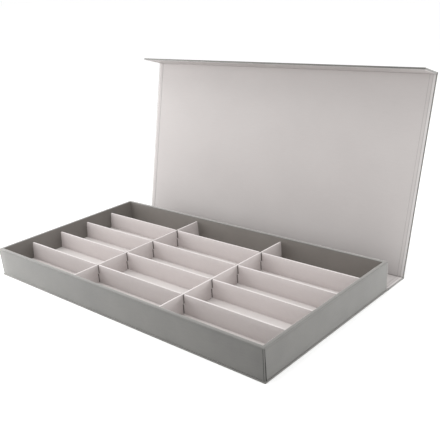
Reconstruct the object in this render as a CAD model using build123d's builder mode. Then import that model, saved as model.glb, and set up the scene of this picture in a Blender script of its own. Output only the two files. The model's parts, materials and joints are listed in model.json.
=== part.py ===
from build123d import *
import os
from math import cos, radians, sin

# Book-style box for sunglasses, in millimetres. A wrapped board tray with a slotted divider insert is glued on
# the base panel of a case. The case's spine, lid and front flap are boards joined by paper hinges.
# The origin is on the base panel's underside, below the tray's middle. +X runs along the box, -Y to its front.
# At rest the box is open: the spine lies flat behind the tray, the lid stands up from it and leans back.

# Tray, over its wrap
tray_length = 540.0
tray_depth = 285.0
tray_height = 46.0  # from the table to the rim, with the base panel
wall_board = 2.2
floor_board = 2.2
stay_tape = 0.2  # paper tape round the boards' corners
wrap_corner_round = 0.9
rim_round = 0.5

# Case panels
case_board = 2.0
base_lip = 1.0  # base panel beyond the tray's wrap, at the front and the sides
flap_length = 41.0  # from the joint to the flap's free edge
closing_gap = 0.7  # between the closed case and the tray, behind, above and in front
hinge_play = 0.3  # between a panel's edge and the paper fold beside it
panel_corner_round = 1.0  # seen from above
panel_edge_round = 0.6  # where the paper folds over the board

# Paper
paper = 0.3
turn_in = 15.0  # width of paper turned over an edge and glued down
lining_border = 1.0  # strip of cover paper left bare round the lining

# Raised floor of the compartments
floor_card = 1.0
floor_rise = 5.9  # from the tray's floor board to the card's top

# Divider insert
columns = 3
rows = 5
divider_board = 2.5
divider_edge_round = 0.3
divider_drop = 6.0  # rim down to the dividers' tops
insert_play = 1.0  # dividers' lower corners to the tray's walls
end_lean = 5.0  # how far a divider's end leans in, from its foot to its top
slot_play = 1.5  # each side of a board in the slot that crosses it
slot_relief = 0.4  # between the two slots' ends

# Closure
magnet_diameter = 14.0
magnet_thickness = 1.5
magnet_reach = 24.0  # joint to the magnets' centres, down the flap
magnet_row_length = 270.0  # between the two magnets' centres
keeper_length = 24.0
keeper_height = 12.0
keeper_thickness = 0.8
pocket_play = 0.2

# Corner stays
stay_leg = 12.0
stay_end_gap = 3.0  # bare board above and below a stay

# Rest pose
lid_lean = 13.0  # degrees that the lid leans back from upright
flap_opening = 93.0  # degrees between the lid's and the flap's inner faces

# Worked out from the sizes above
case_width = tray_length + 2 * base_lip
base_thickness = case_board + 2 * paper
panel_thickness = base_thickness + paper
outer_face = -panel_thickness / 2
edge_distance = panel_thickness / 2 + hinge_play
spine_span = tray_height + closing_gap
lid_span = tray_depth + 2 * closing_gap + panel_thickness
wall_thickness = 2 * paper + stay_tape + wall_board
inner_length = tray_length - 2 * wall_thickness
inner_depth = tray_depth - 2 * wall_thickness
board_bottom = base_thickness + paper
board_top = tray_height - paper
floor_top = board_bottom + floor_board
insert_bottom = floor_top + floor_rise
insert_top = tray_height - divider_drop
insert_height = insert_top - insert_bottom
cell_length = (inner_length - (columns - 1) * divider_board) / columns
cell_depth = (inner_depth - (rows - 1) * divider_board) / rows
column_pitch = cell_length + divider_board
row_pitch = cell_depth + divider_board

# Hinge axes at rest, and one plane for each panel: its Y leads away from the joint, its Z out of the inner face
base_axis = Vector(0, tray_depth / 2 + closing_gap + panel_thickness / 2, panel_thickness / 2)
lid_axis = base_axis + Vector(0, spine_span, 0)
lid_direction = Vector(0, sin(radians(lid_lean)), cos(radians(lid_lean)))
lid_normal = Vector(0, -cos(radians(lid_lean)), sin(radians(lid_lean)))
flap_axis = lid_axis + lid_direction * lid_span
flap_normal = -lid_direction * sin(radians(flap_opening)) - lid_normal * cos(radians(flap_opening))
base_plane = Plane(origin=base_axis, x_dir=(-1, 0, 0), z_dir=(0, 0, 1))
spine_plane = Plane(origin=base_axis, x_dir=(1, 0, 0), z_dir=(0, 0, 1))
spine_end_plane = Plane(origin=lid_axis, x_dir=(1, 0, 0), z_dir=(0, 0, 1))
lid_plane = Plane(origin=lid_axis, x_dir=(1, 0, 0), z_dir=lid_normal)
lid_end_plane = Plane(origin=flap_axis, x_dir=(1, 0, 0), z_dir=lid_normal)
flap_plane = Plane(origin=flap_axis, x_dir=(1, 0, 0), z_dir=flap_normal)

# Reach of each panel from its joint
base_far = base_axis.Y + tray_depth / 2 + base_lip
spine_far = spine_span - edge_distance
lid_far = lid_span - edge_distance

os.makedirs("parts", exist_ok=True)


def centred_positions(count, pitch):
    """Places of count things spaced by pitch about zero."""
    return [(index - (count - 1) / 2) * pitch for index in range(count)]


divider_xs = centred_positions(columns - 1, column_pitch)
divider_ys = centred_positions(rows - 1, row_pitch)
magnet_xs = centred_positions(2, magnet_row_length)


def across_panel(width, near, far, mode=Mode.ADD):
    """Rectangle across a panel, from near to far along it."""
    with Locations((0, (near + far) / 2)):
        Rectangle(width, far - near, mode=mode)


def is_free(plane, edge, far, free_end):
    """Whether an edge lies on the panel's faces and not at a joint."""
    middle = plane.to_local_coords(edge.center())
    on_face = abs(middle.Z - outer_face - base_thickness / 2) > case_board / 3
    at_joint = middle.Y < edge_distance + paper or (not free_end and middle.Y > far - paper)
    return on_face and not at_joint


def make_panel_block(plane, far, free_end, inset):
    """Panel-shaped block with rounded free edges, its faces set in by the same amount all round."""
    block_far = far - inset if free_end else far
    with BuildPart() as block:
        with BuildSketch(plane.offset(outer_face + inset)):
            across_panel(case_width - 2 * inset, edge_distance, block_far)
        extrude(amount=base_thickness - 2 * inset)
        if free_end:
            upright_edges = block.edges().filter_by(Axis(plane.origin, plane.z_dir))
            far_edges = upright_edges.filter_by(lambda edge: plane.to_local_coords(edge.center()).Y > far / 2)
            fillet(far_edges, panel_corner_round - inset)
        long_edges = block.edges().filter_by(lambda edge: is_free(plane, edge, block_far, free_end))
        fillet(long_edges, panel_edge_round - inset)
    return block.part


def make_panel_board(name, plane, far, free_end, pocketed=False):
    """Bare greyboard of one panel, with magnet pockets in its inner face where it has them."""
    block = make_panel_block(plane, far, free_end, inset=paper)
    with BuildPart() as board:
        add(block)
        if pocketed:
            with BuildSketch(plane.offset(outer_face + paper + case_board)):
                with Locations(*[(x, magnet_reach) for x in magnet_xs]):
                    Circle(magnet_diameter / 2 + pocket_play)
            extrude(amount=-magnet_thickness, mode=Mode.SUBTRACT)
    board.part.label = name
    export_step(board.part, f"parts/{name}.step")


def make_cover_paper(name, plane, far, free_end):
    """Cover paper of one panel: outer sheet, sides, and turn-ins glued on the board's inner face."""
    opening_far = far - turn_in if free_end else far
    outside = make_panel_block(plane, far, free_end, inset=0)
    inside = make_panel_block(plane, far, free_end, inset=paper)
    with BuildPart() as cover:
        add(outside)
        add(inside, mode=Mode.SUBTRACT)
        with BuildSketch(plane.offset(outer_face + paper + case_board)):
            across_panel(case_width - 2 * turn_in, edge_distance, opening_far)
        extrude(amount=paper, mode=Mode.SUBTRACT)
    cover.part.label = name
    export_step(cover.part, f"parts/{name}.step")


def make_lining(name, plane, far, free_end):
    """Lining sheet of one panel: it lies on the board, and steps up over the turn-ins round it."""
    middle_far = far - turn_in if free_end else far
    border_far = far - lining_border if free_end else far
    step_far = middle_far - paper if free_end else far
    with BuildPart() as lining:
        with BuildSketch(plane.offset(outer_face + paper + case_board)):
            across_panel(case_width - 2 * turn_in, edge_distance, middle_far)
        extrude(amount=paper)
        with BuildSketch(plane.offset(outer_face + base_thickness)):
            across_panel(case_width - 2 * lining_border, edge_distance, border_far)
            across_panel(case_width - 2 * (turn_in + paper), edge_distance, step_far, mode=Mode.SUBTRACT)
        extrude(amount=paper)
    lining.part.label = name
    export_step(lining.part, f"parts/{name}.step")


def make_hinge_strip(name, plane):
    """Paper joint between two panels: flat from the fixed panel's edge, then a quarter-round fold about the axis."""
    section = Plane(origin=plane.origin, x_dir=plane.y_dir, z_dir=plane.x_dir)
    with BuildPart() as strip:
        with BuildSketch(section):
            Circle(panel_thickness / 2)
            Circle(panel_thickness / 2 - paper, mode=Mode.SUBTRACT)
            Rectangle(panel_thickness, panel_thickness, align=(Align.CENTER, Align.MIN), mode=Mode.SUBTRACT)
            Rectangle(panel_thickness, panel_thickness, align=(Align.MAX, Align.CENTER), mode=Mode.SUBTRACT)
            with Locations((0, outer_face)):
                Rectangle(edge_distance, paper, align=(Align.MAX, Align.MIN))
        extrude(amount=case_width / 2, both=True)
    strip.part.label = name
    export_step(strip.part, f"parts/{name}.step")


def make_flap_magnets():
    """Two disc magnets in the flap board's pockets."""
    with BuildPart() as magnets:
        with BuildSketch(flap_plane.offset(outer_face + paper + case_board)):
            with Locations(*[(x, magnet_reach) for x in magnet_xs]):
                Circle(magnet_diameter / 2)
        extrude(amount=-magnet_thickness)
    magnets.part.label = "flap_magnets"
    export_step(magnets.part, "parts/flap_magnets.step")


def make_tray_floor():
    """Greyboard floor of the tray, between the four walls, and the pale card on it, raised on its folded edges."""
    with BuildPart() as floor:
        with BuildSketch(Plane.XY.offset(board_bottom)):
            Rectangle(inner_length + 2 * paper, inner_depth + 2 * paper)
        extrude(amount=floor_board)
    floor.part.label = "tray_bottom_board"
    export_step(floor.part, "parts/tray_bottom_board.step")

    with BuildPart() as liner:
        with BuildSketch(Plane.XY.offset(floor_top)):
            Rectangle(inner_length, inner_depth)
        extrude(amount=floor_rise)
        with BuildSketch(Plane.XY.offset(floor_top)):
            Rectangle(inner_length - 2 * floor_card, inner_depth - 2 * floor_card)
        extrude(amount=floor_rise - floor_card, mode=Mode.SUBTRACT)
    liner.part.label = "floor_liner"
    export_step(liner.part, "parts/floor_liner.step")


def round_rim(wall):
    """Eases a wall board's long top edges, which the wrap folds over."""
    rim_edges = wall.faces().sort_by(Axis.Z)[-1].edges().sort_by(SortBy.LENGTH)[-2:]
    fillet(rim_edges, rim_round - paper)


def make_long_walls():
    """Front and back boards, the whole length of the tray. The front one has pockets for the keeper plates."""
    wall_length = tray_length - 2 * (paper + stay_tape)
    outer_line = inner_depth / 2 + paper + wall_board / 2
    for name, side in (("front_wall_board", -1), ("back_wall_board", 1)):
        with BuildPart() as wall:
            with BuildSketch(Plane.XY.offset(board_bottom)):
                with Locations((0, side * (inner_depth / 2 + paper + wall_board / 2))):
                    Rectangle(wall_length, wall_board)
            extrude(amount=board_top - board_bottom)
            outer_edges = wall.edges().filter_by(Axis.Z).filter_by(lambda edge: side * edge.center().Y > outer_line)
            fillet(outer_edges, wrap_corner_round - paper - stay_tape)
            round_rim(wall)
            if side < 0:
                with BuildSketch(keeper_plane()):
                    with Locations(*[(x, 0) for x in magnet_xs]):
                        Rectangle(keeper_length + 2 * pocket_play, keeper_height + 2 * pocket_play)
                extrude(amount=-keeper_thickness, mode=Mode.SUBTRACT)
        wall.part.label = name
        export_step(wall.part, f"parts/{name}.step")


def make_side_walls():
    """Left and right boards, between the front and the back ones."""
    for name, side in (("left_wall_board", -1), ("right_wall_board", 1)):
        with BuildPart() as wall:
            with BuildSketch(Plane.XY.offset(board_bottom)):
                with Locations((side * (inner_length / 2 + paper + wall_board / 2), 0)):
                    Rectangle(wall_board, inner_depth + 2 * paper)
            extrude(amount=board_top - board_bottom)
            round_rim(wall)
        wall.part.label = name
        export_step(wall.part, f"parts/{name}.step")


def keeper_plane():
    """Outer face of the front board, level with the flap's magnets when the case is shut."""
    closed_height = tray_height + closing_gap + panel_thickness / 2 - magnet_reach
    return Plane(origin=(0, -(tray_depth / 2 - paper - stay_tape), closed_height), x_dir=(1, 0, 0), z_dir=(0, -1, 0))


def make_keeper_plates():
    """Two steel plates, flush in the front board, that the flap's magnets hold on to."""
    with BuildPart() as plates:
        with BuildSketch(keeper_plane()):
            with Locations(*[(x, 0) for x in magnet_xs]):
                Rectangle(keeper_length, keeper_height)
        extrude(amount=-keeper_thickness)
    plates.part.label = "keeper_plates"
    export_step(plates.part, "parts/keeper_plates.step")


def make_corner_stays():
    """Tape folded round each outer corner of the wall boards."""
    length = tray_length - 2 * paper
    depth = tray_depth - 2 * paper
    outer_round = wrap_corner_round - paper
    with BuildPart() as stays:
        with BuildSketch(Plane.XY.offset(board_bottom + stay_end_gap)):
            RectangleRounded(length, depth, outer_round)
            RectangleRounded(
                length - 2 * stay_tape,
                depth - 2 * stay_tape,
                outer_round - stay_tape,
                mode=Mode.SUBTRACT,
            )
            Rectangle(length - 2 * stay_leg, depth, mode=Mode.SUBTRACT)
            Rectangle(length, depth - 2 * stay_leg, mode=Mode.SUBTRACT)
        extrude(amount=board_top - board_bottom - 2 * stay_end_gap)
    stays.part.label = "corner_stays"
    export_step(stays.part, "parts/corner_stays.step")


def make_tray_wrap():
    """Grey paper round the tray: outside, over the rim, down to the floor board inside, and turned in below."""
    with BuildPart() as wall_space:
        with BuildSketch(Plane.XY.offset(board_bottom)):
            RectangleRounded(tray_length - 2 * paper, tray_depth - 2 * paper, wrap_corner_round - paper)
            Rectangle(inner_length + 2 * paper, inner_depth + 2 * paper, mode=Mode.SUBTRACT)
        extrude(amount=board_top - board_bottom)
        fillet(wall_space.faces().sort_by(Axis.Z)[-1].edges(), rim_round - paper)

    with BuildPart() as wrap:
        with BuildSketch(Plane.XY.offset(base_thickness)):
            RectangleRounded(tray_length, tray_depth, wrap_corner_round)
            Rectangle(inner_length, inner_depth, mode=Mode.SUBTRACT)
        extrude(amount=tray_height - base_thickness)
        rim_edges = wrap.faces().sort_by(Axis.Z)[-1].edges()
        fillet(rim_edges, rim_round)
        add(wall_space.part, mode=Mode.SUBTRACT)
        with BuildSketch(Plane.XY.offset(board_bottom)):
            Rectangle(inner_length + 2 * paper, inner_depth + 2 * paper)
        extrude(amount=floor_board, mode=Mode.SUBTRACT)
        with BuildSketch(Plane.XY.offset(base_thickness)):
            Rectangle(inner_length, inner_depth)
            Rectangle(tray_length - 2 * turn_in, tray_depth - 2 * turn_in, mode=Mode.SUBTRACT)
        extrude(amount=paper)
    wrap.part.label = "tray_wrap_paper"
    export_step(wrap.part, "parts/tray_wrap_paper.step")


def divider_outline(room):
    """Side view of a divider in a tray with that much room. Its ends lean in, so that it drops into place."""
    foot = room / 2 - insert_play
    top = foot - end_lean
    Polygon((-foot, insert_bottom), (foot, insert_bottom), (top, insert_top), (-top, insert_top), align=None)


def ease_long_edges(divider, length_axis):
    """Takes the sharpness off the edges that run along a divider."""
    fillet(divider.edges().filter_by(length_axis), divider_edge_round)


def make_long_dividers():
    """Front-to-back dividers, slotted from below where they cross the others."""
    for name, x in zip(("long_divider_left", "long_divider_right"), divider_xs):
        with BuildPart() as divider:
            with BuildSketch(Plane.YZ.offset(x)):
                divider_outline(inner_depth)
                with Locations(*[(y, insert_bottom) for y in divider_ys]):
                    Rectangle(
                        divider_board + 2 * slot_play,
                        (insert_height + slot_relief) / 2,
                        align=(Align.CENTER, Align.MIN),
                        mode=Mode.SUBTRACT,
                    )
            extrude(amount=divider_board / 2, both=True)
            ease_long_edges(divider, Axis.Y)
        divider.part.label = name
        export_step(divider.part, f"parts/{name}.step")


def make_cross_dividers():
    """Dividers along the tray, slotted from above, with the long dividers dropped into their slots."""
    for index, y in enumerate(divider_ys):
        name = f"cross_divider_{index + 1}"
        with BuildPart() as divider:
            with BuildSketch(Plane.XZ.offset(-y)):
                divider_outline(inner_length)
                with Locations(*[(x, insert_top) for x in divider_xs]):
                    Rectangle(
                        divider_board + 2 * slot_play,
                        (insert_height + slot_relief) / 2,
                        align=(Align.CENTER, Align.MAX),
                        mode=Mode.SUBTRACT,
                    )
            extrude(amount=divider_board / 2, both=True)
            ease_long_edges(divider, Axis.X)
        divider.part.label = name
        export_step(divider.part, f"parts/{name}.step")


def make_case():
    """Four panels and the three paper joints between them."""
    make_panel_board("base_board", base_plane, base_far, free_end=True)
    make_cover_paper("base_cover_paper", base_plane, base_far, free_end=True)
    make_hinge_strip("base_hinge_strip", spine_plane)

    make_panel_board("spine_board", spine_plane, spine_far, free_end=False)
    make_cover_paper("spine_cover_paper", spine_plane, spine_far, free_end=False)
    make_lining("spine_lining", spine_plane, spine_far, free_end=False)
    make_hinge_strip("lid_hinge_strip", spine_end_plane)

    make_panel_board("lid_board", lid_plane, lid_far, free_end=False)
    make_cover_paper("lid_cover_paper", lid_plane, lid_far, free_end=False)
    make_lining("lid_lining", lid_plane, lid_far, free_end=False)
    make_hinge_strip("flap_hinge_strip", lid_end_plane)

    make_panel_board("flap_board", flap_plane, flap_length, free_end=True, pocketed=True)
    make_cover_paper("flap_cover_paper", flap_plane, flap_length, free_end=True)
    make_lining("flap_lining", flap_plane, flap_length, free_end=True)
    make_flap_magnets()


def make_tray():
    """Boards, stays, wrap, liner and the closure's keeper plates."""
    make_tray_floor()
    make_long_walls()
    make_side_walls()
    make_keeper_plates()
    make_corner_stays()
    make_tray_wrap()


make_case()
make_tray()
make_long_dividers()
make_cross_dividers()
print("compartment", round(cell_length, 2), "x", round(cell_depth, 2), "x", round(insert_height, 2), "mm")
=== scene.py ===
import json
import logging
import math
from collections.abc import Callable, Iterable, Sequence
from dataclasses import dataclass, replace
from enum import Enum

import bmesh
import bpy
from bmesh.types import BMFace, BMVert
from bpy.types import Material, Node, NodeSocket, NodeTree, Object
from mathutils import Matrix, Vector, noise

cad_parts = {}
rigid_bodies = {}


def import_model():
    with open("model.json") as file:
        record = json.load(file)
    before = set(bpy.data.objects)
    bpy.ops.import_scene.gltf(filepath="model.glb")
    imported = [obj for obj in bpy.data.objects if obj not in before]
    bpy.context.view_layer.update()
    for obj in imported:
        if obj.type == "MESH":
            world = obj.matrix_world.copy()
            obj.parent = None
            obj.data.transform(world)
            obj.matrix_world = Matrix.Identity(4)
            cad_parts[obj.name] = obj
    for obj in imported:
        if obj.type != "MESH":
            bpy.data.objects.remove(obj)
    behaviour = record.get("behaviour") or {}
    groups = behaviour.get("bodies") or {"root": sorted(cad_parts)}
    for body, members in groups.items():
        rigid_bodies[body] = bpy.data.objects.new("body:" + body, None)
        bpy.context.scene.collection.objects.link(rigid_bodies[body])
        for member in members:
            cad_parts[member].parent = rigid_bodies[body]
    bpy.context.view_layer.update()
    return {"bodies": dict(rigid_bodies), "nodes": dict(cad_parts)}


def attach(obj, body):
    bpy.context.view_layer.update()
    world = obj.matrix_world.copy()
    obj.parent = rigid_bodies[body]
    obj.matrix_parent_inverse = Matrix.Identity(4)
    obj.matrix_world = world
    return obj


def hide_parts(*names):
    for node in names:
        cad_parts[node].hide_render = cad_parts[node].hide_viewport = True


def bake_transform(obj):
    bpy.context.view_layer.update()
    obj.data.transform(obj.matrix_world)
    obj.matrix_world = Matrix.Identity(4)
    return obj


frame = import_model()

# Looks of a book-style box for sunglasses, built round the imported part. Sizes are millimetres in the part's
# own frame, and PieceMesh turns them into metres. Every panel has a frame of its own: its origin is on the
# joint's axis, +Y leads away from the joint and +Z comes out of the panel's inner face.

LOG = logging.getLogger("sunglasses_box")
MM = 0.001
RUB = "rub"  # face attribute: share of paler paper, partly wear where hands and shelves polish the edges and partly a painted highlight where edges, rim tops and pressed borders catch the light
PHOTO_SIDE = 440
SAME_POINT = 1e-6  # closer corners of a face are one
WELD = 1e-4  # closer vertices of a piece are one
NEAR = 0.01  # play of a comparison, in millimetres
STRAIGHT = 0.01  # radians under which two panels are in line

Colour = tuple[float, float, float]
Flat = tuple[float, float]
Triple = tuple[float, float, float]
Surface = Callable[[float, float], Triple]
WHITE: Colour = (1.0, 1.0, 1.0)


class Body(Enum):
    """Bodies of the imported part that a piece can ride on."""

    TRAY = "tray"
    SPINE = "spine"
    LID = "lid"
    FLAP = "flap"


class Slot(Enum):
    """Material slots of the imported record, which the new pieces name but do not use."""

    COVER = "cover_paper"
    LINING = "lining_paper"
    DIVIDER = "divider_board"


# ---- shader nodes


class Nodes:
    """Adds nodes to one tree and links them by socket."""

    def __init__(self, tree: NodeTree) -> None:
        """Keeps the tree. Args: tree: the node tree to fill."""
        self.tree = tree

    def feed(self, node: Node, sockets: dict) -> None:
        """Sets a node's inputs.

        Args:
            node: the node.
            sockets: input name or index to a value, or to an output socket that feeds it.
        """
        for name, value in sockets.items():
            if isinstance(value, NodeSocket):
                self.tree.links.new(value, node.inputs[name])
            else:
                node.inputs[name].default_value = value

    def add(self, kind: str, sockets: dict | None = None, **settings: object) -> Node:
        """Adds one node.

        Args:
            kind: the node's type name in Blender.
            sockets: its inputs, as feed takes them.
            settings: the node's own properties.
        Returns:
            The node.
        """
        node = self.tree.nodes.new(kind)
        for name, value in settings.items():
            setattr(node, name, value)
        self.feed(node, sockets or {})
        return node

    def effect(self, group: "EffectGroup", sockets: dict) -> Node:
        """A shared effect with a finish's own values."""
        return self.add("ShaderNodeGroup", sockets, node_tree=group.tree())

    def place(self) -> NodeSocket:
        """Place on the piece, in metres."""
        return self.add("ShaderNodeTexCoord").outputs["Object"]

    def math(self, operation: str, first: object, second: object, clamp: bool = False) -> NodeSocket:
        """Result of a Math node on two values or sockets, held between 0 and 1 if it is clamped."""
        node = self.add("ShaderNodeMath", {0: first, 1: second}, operation=operation, use_clamp=clamp)
        return node.outputs[0]

    def stretch(self, place: NodeSocket, by: object) -> NodeSocket:
        """A place times a value for each axis."""
        return self.add("ShaderNodeVectorMath", {0: place, 1: by}, operation="MULTIPLY").outputs[0]

    def spread(self, value: NodeSocket, low: float, high: float, to_low: float = 0.0) -> NodeSocket:
        """Value from low to high, spread from to_low to 1 and held there."""
        sockets = {"Value": value, "From Min": low, "From Max": high, "To Min": to_low, "To Max": 1.0}
        return self.add("ShaderNodeMapRange", sockets).outputs[0]

    def mix(self, share: object, first: object, second: object) -> NodeSocket:
        """Colour between two others. A share of 0 gives the first."""
        return self.add("ShaderNodeMix", {0: share, 6: first, 7: second}, data_type="RGBA").outputs[2]

    def noise(self, place: NodeSocket, scale: object, detail: float, roughness: float = 0.55) -> NodeSocket:
        """Value of a Noise Texture, whose scale is in repeats a metre."""
        sockets = {"Vector": place, "Scale": scale, "Detail": detail, "Roughness": roughness}
        return self.add("ShaderNodeTexNoise", sockets).outputs[0]

    def bump(self, height: NodeSocket, distance: float, strength: float = 0.6) -> NodeSocket:
        """Normal of a fine relief, whose distance is in metres."""
        sockets = {"Height": height, "Strength": strength, "Distance": distance}
        return self.add("ShaderNodeBump", sockets).outputs[0]


def rgba(colour: Colour) -> tuple[float, float, float, float]:
    """The colour with full alpha."""
    return (*colour, 1.0)


class EffectGroup(Enum):
    """Shader groups that the finishes share. A group is built when a finish first asks for it."""

    GRAIN = "paper_grain"
    RUB = "edge_rub"
    HANDLING = "handling_marks"

    def tree(self) -> NodeTree:
        """The group's node tree, built once.

        Returns:
            The tree.
        """
        found = bpy.data.node_groups.get(self.value)
        if found is not None:
            return found
        builders = {
            EffectGroup.GRAIN: build_grain_group,
            EffectGroup.RUB: build_wear_and_highlight_group,
            EffectGroup.HANDLING: build_handling_group,
        }
        return builders[self](self.value)


def new_group(name: str, inputs: dict[str, str], outputs: dict[str, str]) -> tuple[Nodes, dict, Node]:
    """Empty shader group with named sockets.

    Args:
        name: the group's name.
        inputs: input name to its kind, Float, Color or Vector.
        outputs: output name to its kind.
    Returns:
        Its node maker, the inputs' sockets by name, and the node that takes the outputs.
    """
    tree = bpy.data.node_groups.new(name, "ShaderNodeTree")
    for way, sockets in (("INPUT", inputs), ("OUTPUT", outputs)):
        for socket, kind in sockets.items():
            tree.interface.new_socket(socket, in_out=way, socket_type="NodeSocket" + kind)
    nodes = Nodes(tree)
    entry = nodes.add("NodeGroupInput")
    return nodes, {socket: entry.outputs[socket] for socket in inputs}, nodes.add("NodeGroupOutput")


def build_grain_group(name: str) -> NodeTree:
    """Fibres, fine tooth and slow mottling of a sheet of paper.

    Args:
        name: the group's name.
    Returns:
        The group's tree, with Colour and Height outputs.
    """
    numbers = dict.fromkeys(("Fibres", "Mottle", "Mottle Share"), "Float")
    inputs = {"Dark": "Color", "Light": "Color", "Stretch": "Vector", **numbers}
    nodes, given, leave = new_group(name, inputs, {"Colour": "Color", "Height": "Float"})
    place, share = nodes.place(), given["Mottle Share"]
    fineness, fibre_share = 2.4, 0.65
    fibres = nodes.noise(nodes.stretch(place, given["Stretch"]), given["Fibres"], detail=4.0, roughness=0.6)
    tooth = nodes.noise(place, nodes.math("MULTIPLY", given["Fibres"], fineness), detail=2.0)
    fibres = nodes.math("MULTIPLY", fibres, fibre_share)
    near = nodes.math("ADD", fibres, nodes.math("MULTIPLY", tooth, 1 - fibre_share))
    mottle = nodes.noise(place, given["Mottle"], detail=5.0, roughness=0.5)
    slow = nodes.math("MULTIPLY", mottle, share)
    fast = nodes.math("MULTIPLY", near, nodes.math("SUBTRACT", 1.0, share))
    tone = nodes.spread(nodes.math("ADD", slow, fast), low=0.3, high=0.7)
    nodes.feed(leave, {"Colour": nodes.mix(tone, given["Dark"], given["Light"]), "Height": near})
    return nodes.tree


def build_wear_and_highlight_group(name: str) -> NodeTree:
    """Paler paper along rounded edges, broken up by noise: partly polish from wear, partly a painted highlight
    where the edges catch the light.

    Args:
        name: the group's name.
    Returns:
        The group's tree, with Colour and Mask outputs.
    """
    inputs = {"Colour": "Color", "Wear Highlight Colour": "Color", "Amount": "Float"}
    nodes, given, leave = new_group(name, inputs, {"Colour": "Color", "Mask": "Float"})
    edge = nodes.add("ShaderNodeAttribute", attribute_name=RUB).outputs["Fac"]
    patches = nodes.noise(nodes.place(), scale=55.0, detail=5.0, roughness=0.65)
    patches = nodes.spread(patches, low=0.3, high=0.65, to_low=0.6)
    mask = nodes.math("MULTIPLY", nodes.math("MULTIPLY", edge, patches), given["Amount"], clamp=True)
    nodes.feed(leave, {"Colour": nodes.mix(mask, given["Colour"], given["Wear Highlight Colour"]), "Mask": mask})
    return nodes.tree


def build_handling_group(name: str) -> NodeTree:
    """Roughness that drifts over the sheet where it was handled, smoother under the paler-edge mask of wear
    and painted highlight.

    Args:
        name: the group's name.
    Returns:
        The group's tree, with a Roughness output.
    """
    inputs = {"Base": "Float", "Spread": "Float", "Wear Highlight Mask": "Float"}
    nodes, given, leave = new_group(name, inputs, {"Roughness": "Float"})
    mean, most_polish = 0.5, 0.12
    drift = nodes.noise(nodes.place(), scale=18.0, detail=6.0, roughness=0.6)
    drift = nodes.math("MULTIPLY", nodes.math("SUBTRACT", drift, mean), given["Spread"])
    polish = nodes.math("MULTIPLY", given["Wear Highlight Mask"], most_polish)
    rough = nodes.math("ADD", given["Base"], drift)
    nodes.feed(leave, {"Roughness": nodes.math("SUBTRACT", rough, polish, clamp=True)})
    return nodes.tree


# ---- finishes


@dataclass(frozen=True)
class Finish:
    """What a piece is made of."""

    name: str

    def paint(self, nodes: Nodes, shader: Node) -> None:
        """Fills a new material.

        Args:
            nodes: its node maker.
            shader: its Principled BSDF.
        """
        raise NotImplementedError(self.name)

    def material(self) -> Material:
        """The finish's material, built when it is first asked for.

        Returns:
            The material.
        """
        made = bpy.data.materials.get(self.name)
        if made is None:
            made = bpy.data.materials.new(self.name)
            made.use_nodes = True
            self.paint(Nodes(made.node_tree), made.node_tree.nodes["Principled BSDF"])
        return made


@dataclass(frozen=True)
class PaperFinish(Finish):
    """A paper: two close tones mixed by its grain, a tooth, and paler edges, partly worn and partly a painted
    highlight.
    """

    dark: Colour
    light: Colour
    wear_and_highlight_colour: Colour
    wear_and_highlight_amount: float = 0.2
    fibres: float = 700.0
    stretch: Triple = (0.12, 1.0, 1.0)
    mottle: float = 22.0
    mottle_share: float = 0.45
    roughness: float = 0.6
    roughness_spread: float = 0.12
    specular: float = 0.5
    sheen: float = 0.0
    sheen_roughness: float = 0.4
    sheen_tint: Colour = WHITE
    tooth_height: float = 0.00006

    def paint(self, nodes: Nodes, shader: Node) -> None:
        """Grain, paler edges of wear and painted highlight, and handling marks.

        Args:
            nodes: as for Finish.
            shader: as for Finish.
        """
        grain = nodes.effect(EffectGroup.GRAIN, {
            "Dark": rgba(self.dark), "Light": rgba(self.light), "Stretch": self.stretch,
            "Fibres": self.fibres, "Mottle": self.mottle, "Mottle Share": self.mottle_share,
        })
        rub = nodes.effect(EffectGroup.RUB, {
            "Colour": grain.outputs["Colour"], "Wear Highlight Colour": rgba(self.wear_and_highlight_colour), "Amount": self.wear_and_highlight_amount,
        })
        handling = nodes.effect(EffectGroup.HANDLING, {
            "Base": self.roughness, "Spread": self.roughness_spread, "Wear Highlight Mask": rub.outputs["Mask"],
        })
        nodes.feed(shader, {
            "Base Color": rub.outputs["Colour"],
            "Roughness": handling.outputs["Roughness"],
            "Normal": nodes.bump(grain.outputs["Height"], self.tooth_height),
            "Specular IOR Level": self.specular,
            "Sheen Weight": self.sheen,
            "Sheen Roughness": self.sheen_roughness,
            "Sheen Tint": rgba(self.sheen_tint),
        })


@dataclass(frozen=True)
class BoardFinish(Finish):
    """Bare greyboard with flecks of recycled fibre."""

    base: Colour
    fleck: Colour
    roughness: float = 0.85
    cells: float = 900.0
    tooth_height: float = 0.0001

    def paint(self, nodes: Nodes, shader: Node) -> None:
        """Flecks at the middles of small cells.

        Args:
            nodes: as for Finish.
            shader: as for Finish.
        """
        place = nodes.place()
        cells = nodes.add("ShaderNodeTexVoronoi", {"Vector": place, "Scale": self.cells}).outputs["Distance"]
        flecks = nodes.spread(cells, low=0.18, high=0.05)
        nodes.feed(shader, {
            "Base Color": nodes.mix(flecks, rgba(self.base), rgba(self.fleck)),
            "Roughness": self.roughness,
            "Normal": nodes.bump(nodes.noise(place, scale=1500.0, detail=3.0), self.tooth_height),
        })


@dataclass(frozen=True)
class MetalFinish(Finish):
    """Plated steel with a brushed grain."""

    colour: Colour
    shade: float = 0.85
    stretch: Triple = (0.03, 1.0, 1.0)
    roughness: float = 0.3
    roughness_spread: float = 0.2

    def paint(self, nodes: Nodes, shader: Node) -> None:
        """Fine lines along the piece.

        Args:
            nodes: as for Finish.
            shader: as for Finish.
        """
        brushed = nodes.noise(nodes.stretch(nodes.place(), self.stretch), scale=2500.0, detail=3.0)
        dark = tuple(self.shade * part for part in self.colour)
        drift = nodes.math("MULTIPLY", brushed, self.roughness_spread)
        nodes.feed(shader, {
            "Base Color": nodes.mix(brushed, rgba(dark), rgba(self.colour)),
            "Roughness": nodes.math("ADD", drift, self.roughness),
            "Metallic": 1.0,
        })


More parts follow.
